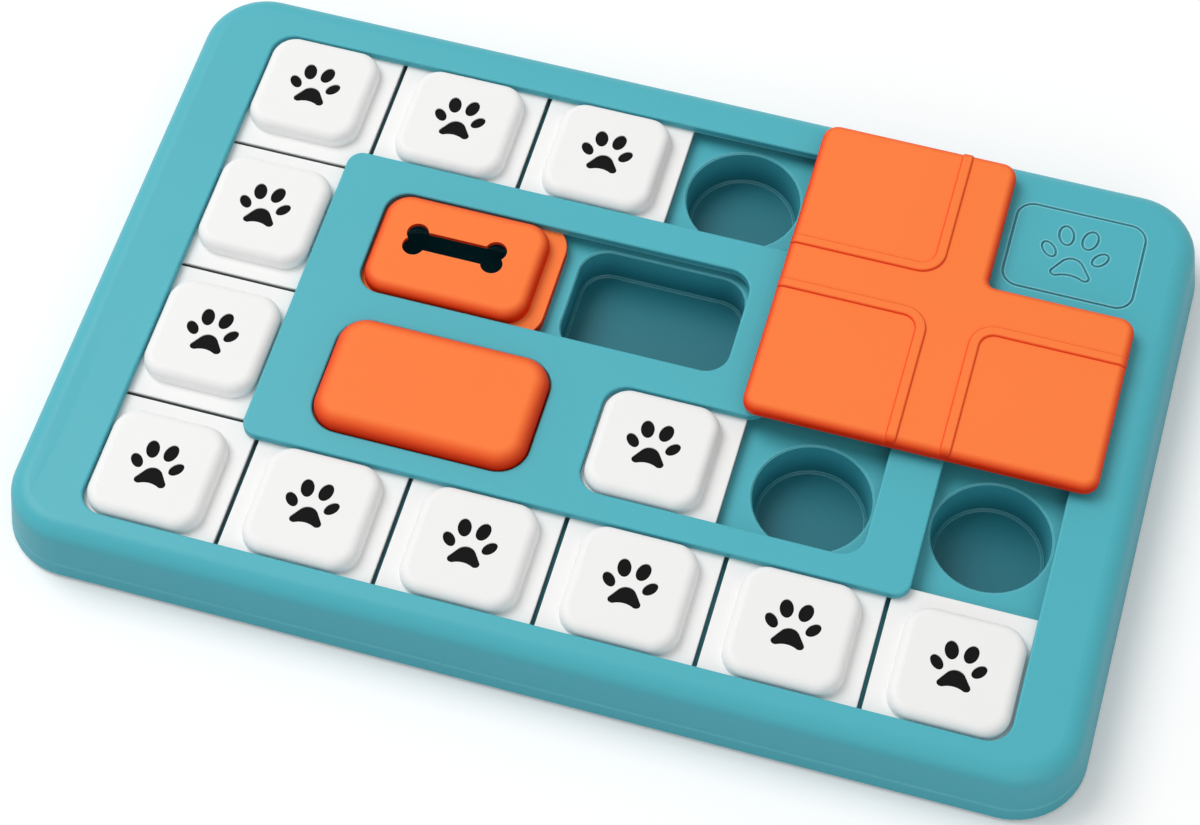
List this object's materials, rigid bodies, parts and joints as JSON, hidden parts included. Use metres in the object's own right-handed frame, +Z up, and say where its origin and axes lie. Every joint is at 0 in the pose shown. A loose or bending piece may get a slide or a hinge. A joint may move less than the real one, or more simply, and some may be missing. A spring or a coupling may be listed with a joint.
{
  "type": "dog puzzle feeder",
  "caption": "Flat treat board with food wells, sliding paw tiles in a ring track, a long bone slider, a squeaker button and a turning cover plate.",
  "frame": {"origin": "centre of the footprint on the plane that the rubber feet stand on", "axes": "+X along the long side, +Y from the front row to the back row, +Z up"},
  "size_m": [0.3988, 0.2568, 0.0355],
  "materials": {
    "teal_plastic": "satin moulded",
    "white_plastic": "satin moulded",
    "orange_plastic": "satin moulded",
    "screw_steel": "zinc plated",
    "washer_nylon": "natural nylon",
    "reed_plastic": "plain",
    "bellows_rubber": "soft, matte",
    "foot_rubber": "matte"
  },
  "bodies": {
    "board": {"base_tray": "teal_plastic", "top_cover": "teal_plastic", "cover_screws": "screw_steel", "rubber_feet": "foot_rubber", "squeaker_reed": "reed_plastic", "squeaker_bellows": "bellows_rubber"},
    "spinner": {"spinner_plate": "orange_plastic", "pivot_screw": "screw_steel", "pivot_washer": "washer_nylon"},
    "tile_back_1_body": {"tile_back_1": "white_plastic"},
    "tile_back_2_body": {"tile_back_2": "white_plastic"},
    "tile_back_3_body": {"tile_back_3": "white_plastic"},
    "tile_left_1_body": {"tile_left_1": "white_plastic"},
    "tile_left_2_body": {"tile_left_2": "white_plastic"},
    "tile_front_1_body": {"tile_front_1": "white_plastic"},
    "tile_front_2_body": {"tile_front_2": "white_plastic"},
    "tile_front_3_body": {"tile_front_3": "white_plastic"},
    "tile_front_4_body": {"tile_front_4": "white_plastic"},
    "tile_front_5_body": {"tile_front_5": "white_plastic"},
    "tile_front_6_body": {"tile_front_6": "white_plastic"},
    "tile_inner_body": {"tile_inner": "white_plastic"},
    "bone_slider_body": {"bone_slider": "orange_plastic"},
    "squeaker_button_body": {"squeaker_button": "orange_plastic"}
  },
  "joints": [
    {"name": "spinner_turn", "type": "hinge", "parent": "board", "child": "spinner", "pos_m": [0.1153, 0.0535, 0.027], "axis": [0, 0, 1], "continuous": true},
    {"name": "back_row_slide", "type": "slide", "parent": "board", "child": "tile_back_3_body", "axis": [1, 0, 0], "range_m": [0, 0.1083]},
    {"name": "back_tile_2_follow", "type": "slide", "parent": "board", "child": "tile_back_2_body", "axis": [1, 0, 0], "range_m": [0, 0.1083]},
    {"name": "back_tile_1_follow", "type": "slide", "parent": "board", "child": "tile_back_1_body", "axis": [1, 0, 0], "range_m": [0, 0.1083]},
    {"name": "corner_tile_slide", "type": "slide", "parent": "board", "child": "tile_front_6_body", "axis": [0, 1, 0], "range_m": [0, 0.1095]},
    {"name": "inner_tile_slide", "type": "slide", "parent": "board", "child": "tile_inner_body", "axis": [1, 0, 0], "range_m": [0, 0.0595]},
    {"name": "bone_slide", "type": "slide", "parent": "board", "child": "bone_slider_body", "axis": [1, 0, 0], "range_m": [0, 0.076]},
    {"name": "squeaker_press", "type": "slide", "parent": "board", "child": "squeaker_button_body", "axis": [0, 0, -1], "range_m": [0, 0.0045], "stiffness_N_per_m": 1000, "springref_m": -0.0005, "deforming": ["squeaker_bellows"]},
    {"name": "left_tile_1_play", "type": "slide", "parent": "board", "child": "tile_left_1_body", "axis": [0, 1, 0], "range_m": [-0.0006, 0.0006]},
    {"name": "left_tile_2_play", "type": "slide", "parent": "board", "child": "tile_left_2_body", "axis": [0, 1, 0], "range_m": [-0.0006, 0.0006]},
    {"name": "front_tile_1_play", "type": "slide", "parent": "board", "child": "tile_front_1_body", "axis": [1, 0, 0], "range_m": [-0.0003, 0.0008]},
    {"name": "front_tile_2_play", "type": "slide", "parent": "board", "child": "tile_front_2_body", "axis": [1, 0, 0], "range_m": [-0.0008, 0.0008]},
    {"name": "front_tile_3_play", "type": "slide", "parent": "board", "child": "tile_front_3_body", "axis": [1, 0, 0], "range_m": [-0.0008, 0.0008]},
    {"name": "front_tile_4_play", "type": "slide", "parent": "board", "child": "tile_front_4_body", "axis": [1, 0, 0], "range_m": [-0.0008, 0.0008]},
    {"name": "front_tile_5_play", "type": "slide", "parent": "board", "child": "tile_front_5_body", "axis": [1, 0, 0], "range_m": [-0.0008, 0.0008]}
  ],
  "couplings": [
    {"joint": "back_tile_2_follow", "follows": "back_row_slide", "ratio": 1},
    {"joint": "back_tile_1_follow", "follows": "back_row_slide", "ratio": 1}
  ]
}
